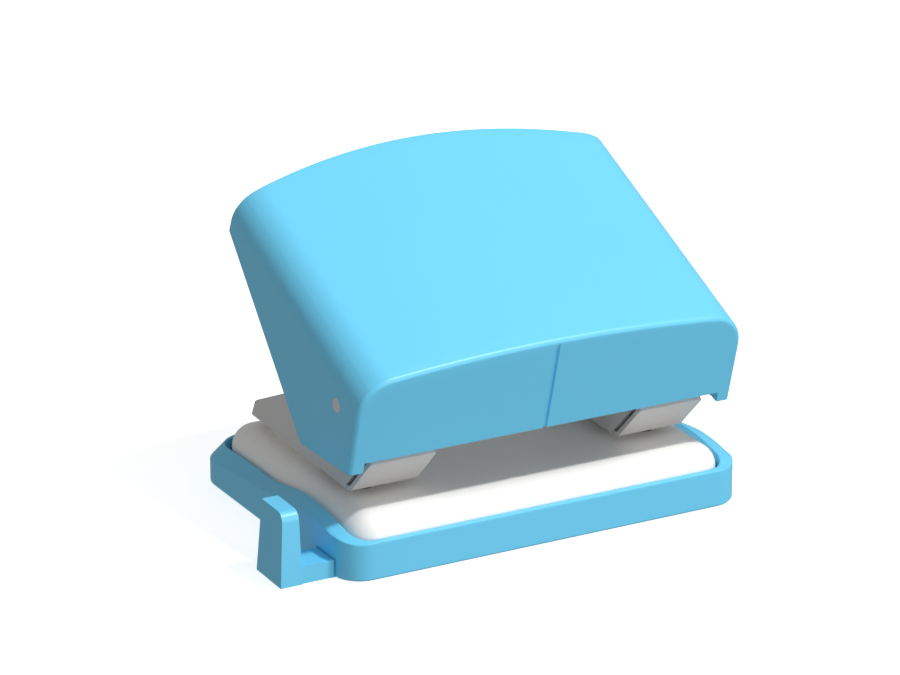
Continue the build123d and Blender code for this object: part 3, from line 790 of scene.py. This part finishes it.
inside = [box_part(*sorted((side * (INNER_W + 0.5), side * (INNER_W - 4))), y - 1.5, y + 1.5,
                   1.0, skirt_low - 0.1) for side in (-1, 1) for y in (5.0, 35.0)]
STUB_R, STUB_PIN_R, RIB_BACK = 1.8, 1.25, 0.2   # the rib's rear face clears the turning rim
pivot_y, pivot_z = TRAY_PIVOT[1], TRAY_PIVOT[2]
for side in (-1, 1):
    near, far = sorted((side * 31.05, side * 33.55))
    inside.append(box_part(near, far, pivot_y - STUB_R, pivot_y + RIB_BACK, 1.0, pivot_z))
    inside.append(bar_x(STUB_R, near, far, pivot_y, pivot_z))
    inside.append(bar_x(STUB_PIN_R, *sorted((side * 28.25, side * 32.0)), pivot_y, pivot_z))
ribs = new_object("tray_ribs_and_stubs", *join_parts(inside), crease=40)
soften(ribs, 0.15, 2, 60)
placed(ribs, "chip_tray", "tray_plastic", abs_tray)

# %% [markdown]
# ## The paper guide
#
# The guide is a flat arm with an upright post at its outer end. The post is a slab whose
# front top corner is rounded. Both are extruded outlines, so each is two equal loops joined
# by a band, with a bevel for the moulded edges.

# %% Paper guide
def extruded(outline, place):
    """A closed slab: place(outline, end) gives the loop's points at each end, 0 and 1."""
    near, far = place(outline, 0), place(outline, 1)
    count = len(outline)
    return np.stack([near, far]), (grid_faces(2, count, closed=True).tolist()
                                   + [list(range(count))[::-1], list(range(count, 2 * count))])


post_y0, post_x0, post_top = guide_low[1], guide_low[0], guide_high[2]
round_corner = np.linspace(math.pi, math.pi / 2, 9)
side_view = np.concatenate([
    [[0.0, 0.0], [13.5, 0.0], [12.0, post_top]],
    np.column_stack([3.1 + 2.5 * np.cos(round_corner), post_top - 2.5 + 2.5 * np.sin(round_corner)])[::-1]])


def post_side(outline, end):
    """The post's side view placed in space. It is 5.8 mm thick at its foot and 4.3 at its top:
    each side leans in by a share of the height."""
    y, z = post_y0 + outline[:, 0], outline[:, 1]
    lean = z / post_top
    x = (post_x0 + 1.0 * lean, post_x0 + 5.8 - 0.5 * lean)[end]
    return np.column_stack([x, y, z])


arm_y0, arm_y1, arm_top, groove_start = post_y0 + 0.35, -8.0, 4.6, -54.0
grooved = np.array([[arm_y0, 0], [arm_y1, 0], [arm_y1, 1.4], [arm_y1 - 1.3, 1.4], [arm_y1 - 1.3, 3.0],
                    [arm_y1, 3.0], [arm_y1, arm_top], [arm_y0, arm_top], [arm_y0, 3.0],
                    [arm_y0 + 1.3, 3.0], [arm_y0 + 1.3, 1.4], [arm_y0, 1.4]])
post = new_object("paper_guide_skin", *extruded(side_view, post_side), crease=40)
combined(post, box_part(post_x0 + 4.5, groove_start, arm_y0, arm_y1, 0, arm_top), "UNION")
combined(post, extruded(grooved, lambda loop, end: np.column_stack(
    [np.full(len(loop), (groove_start - 0.01, guide_high[0])[end]), loop])), "UNION")
post.data.polygons.foreach_set("use_smooth", np.ones(len(post.data.polygons), bool))
post.data.set_sharp_from_angle(angle=math.radians(32))
soften(post, 0.45, 3, 50)
placed(post, "paper_guide", "tray_plastic", abs_tray, "paper_guide")

# %% [markdown]
# ## Axle and rivets
#
# Turned and headed parts are profiles carried round an axis. The axle is a rod whose ends are
# chamfered and stand a hair proud of the cover, and a rivet head is a low dome.

# %% Turned parts
rod = new_object("bright_axle", *join_parts([bar_x(2.0, -HALF_WIDTH - 0.12, HALF_WIDTH + 0.12,
                                                   AXLE[1], AXLE[2], 48)]), crease=30)
placed(rod, "handle", "axle_steel", bright_rod, "axle")


def turned(profile, x, y, count=40):
    """A profile of (radius, height) pairs carried round the upright axis through x, y."""
    profile = np.asarray(profile, float)
    turn = np.arange(count) * 2 * math.pi / count
    r, z = np.maximum(profile[:, :1], 1e-4), profile[:, 1:]
    loops = np.stack([x + r * np.cos(turn), y + r * np.sin(turn), z + 0 * turn], axis=-1)
    return loops, grid_faces(len(profile), count, closed=True)


web_top = WEB_Z + SHEET_T
dome = np.linspace(0, math.pi / 2, 8)
rivet_profile = [(0, 14.2), (3.6, 14.2), (3.6, 15.4), (2.0, 15.5), (2.0, web_top), (3.6, web_top)]
rivet_profile += [(3.6 * math.cos(t), web_top + 0.15 + 1.15 * math.sin(t)) for t in dome]
rivets = [turned(rivet_profile, side * bracket_middle, y) for side in (-1, 1) for y in (20.0, 38.0)]
heads = new_object("bracket_rivet_heads", *join_parts(rivets), crease=35)
placed(heads, "punch_base", "zinc_steel", zinc, "bracket_rivets")

# %% [markdown]
# ## The return springs
#
# Each spring is a round wire swept along a helix. The helix is written as a formula, and so
# are the two directions across the wire: straight out from the spring's axis, and the one
# square to that and to the wire.

# %% Return springs
COIL_R, WIRE_R, TURNS, STROKE = 4.75, 0.4, 7, 7.2


def helix_wire(x, foot, height, steps=28, count=12):
    """A wire along (R cos t, R sin t, pitch t), with rings of points round it and both ends
    closed. Along the wire is (-R sin t, R cos t, pitch), and across it are (cos t, sin t, 0)
    and (p sin t, -p cos t, R) / sqrt(R^2 + p^2)."""
    turn = np.linspace(0, 2 * math.pi * TURNS, TURNS * steps)[:, None]
    pitch = (height - 2 * WIRE_R) / (2 * math.pi * TURNS)
    middle = np.hstack([x + COIL_R * np.cos(turn), COIL_R * np.sin(turn),
                        foot + WIRE_R + pitch * turn])
    outward = np.hstack([np.cos(turn), np.sin(turn), 0 * turn])
    across = np.hstack([pitch * np.sin(turn), -pitch * np.cos(turn), COIL_R + 0 * turn])
    across /= math.hypot(COIL_R, pitch)
    ring = np.arange(count) * 2 * math.pi / count
    points = (middle[:, None] + WIRE_R * np.cos(ring)[:, None] * outward[:, None]
              + WIRE_R * np.sin(ring)[:, None] * across[:, None])
    faces = grid_faces(len(turn), count, closed=True).tolist()
    last = (len(turn) - 1) * count
    return points, faces + [list(range(count))[::-1], list(range(last, last + count))]


for side in ("left", "right"):
    spring_low, spring_high = box_mm(side + "_punch_spring")
    axis_x = PIN_X if side == "right" else -PIN_X
    height = spring_high[2] - spring_low[2]
    coil = new_object(side + "_return_spring", *helix_wire(axis_x, spring_low[2], height), crease=60)
    placed(coil, "punch_base", "spring_steel", spring_wire, side + "_punch_spring")
    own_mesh(coil)

# %% [markdown]
# ## Parts that keep their CAD shape
#
# The pins, clips, washers, dies, bushes, screws, pads and the lever are right as they are, so
# they only get their finishes.

# %% Finishes on CAD parts
finishes = {"lever": zinc, "cover_screws": zinc}
for side in ("left", "right"):
    finishes |= {side + "_punch_pin": tool_steel, side + "_die": tool_steel,
                 side + "_pin_clip": spring_wire, side + "_spring_washer": zinc,
                 side + "_guide_bush": zinc, side + "_press_pad": nylon}
for thing in bpy.data.objects:
    if thing.type == "MESH" and thing.name in finishes:
        for place_of_material in thing.material_slots:
            place_of_material.material = finishes.pop(thing.name)
print("CAD parts without a finish:", sorted(finishes))

# %% [markdown]
# ## Floor, light and camera
#
# The floor is plain and pale. A small light above, in front and to the right gives the
# direction of the shading and fairly crisp shadows. A large weak one lights the front faces,
# and an even bright surround keeps the left side from going dark.
# The camera stands about a metre away with a long lens, which keeps the perspective mild.

# %% Floor
side_length = 3000.0
steps = np.linspace(-side_length, side_length, 3)
floor_grid = np.stack(np.meshgrid(steps, steps, [-0.05], indexing="ij"), axis=-1)[:, :, 0]
floor = new_object("studio_floor", floor_grid, grid_faces(3, 3)[:, ::-1], turn=False)
paper, tree, shader, place = start_finish("pale_studio_paper", "#F4F4F4", 0.9)
shader.inputs["Emission Color"].default_value = (1, 1, 1, 1)
shader.inputs["Emission Strength"].default_value = 0.69
floor.data.materials.append(paper)
floor.visible_diffuse = False
floor.visible_glossy = False

# %% Camera
azimuth, elevation = math.radians(-28.2), math.radians(20.55)
back = Vector((math.sin(azimuth) * math.cos(elevation), -math.cos(azimuth) * math.cos(elevation),
               math.sin(elevation)))
right = Vector((math.cos(azimuth), math.sin(azimuth), 0))
upward = back.cross(right)
centre = (-13.46 * right + 43.4 * upward + 1053.0 * back) * MM
lens = bpy.data.cameras.new("studio_camera")
lens.lens, lens.sensor_width, lens.clip_end = 168.0, 36.0, 20.0
camera = bpy.data.objects.new("studio_camera", lens)
bpy.context.collection.objects.link(camera)
camera.matrix_world = Matrix((right, upward, back)).transposed().to_4x4()
camera.matrix_world.translation = centre
bpy.context.scene.camera = camera
print("camera at", [round(v, 3) for v in centre])

# %% Light
def soft_light(name, direction, distance, size, power):
    """A square area light that shines at the object from a direction, in metres and watts."""
    data = bpy.data.lights.new(name, "AREA")
    data.shape, data.size, data.energy = "SQUARE", size, power
    light = bpy.data.objects.new(name, data)
    bpy.context.collection.objects.link(light)
    aim = Vector(direction).normalized()
    light.location = aim * distance + Vector((0, 0.015, 0.04))
    light.rotation_euler = aim.to_track_quat("Z", "Y").to_euler()
    return light


soft_light("key", (0.30, -0.40, 0.86), 1.6, 0.14, 17.6)
soft_light("front_fill", (0.25, -1.00, 0.10), 1.6, 0.9, 9.5)
surround = bpy.data.worlds.new("bright_surround")
bpy.context.scene.world = surround
surround.use_nodes = True
surround.node_tree.nodes["Background"].inputs["Color"].default_value = (1, 1, 1, 1)
surround.node_tree.nodes["Background"].inputs["Strength"].default_value = 0.34
bpy.context.scene.view_settings.view_transform = "Standard"
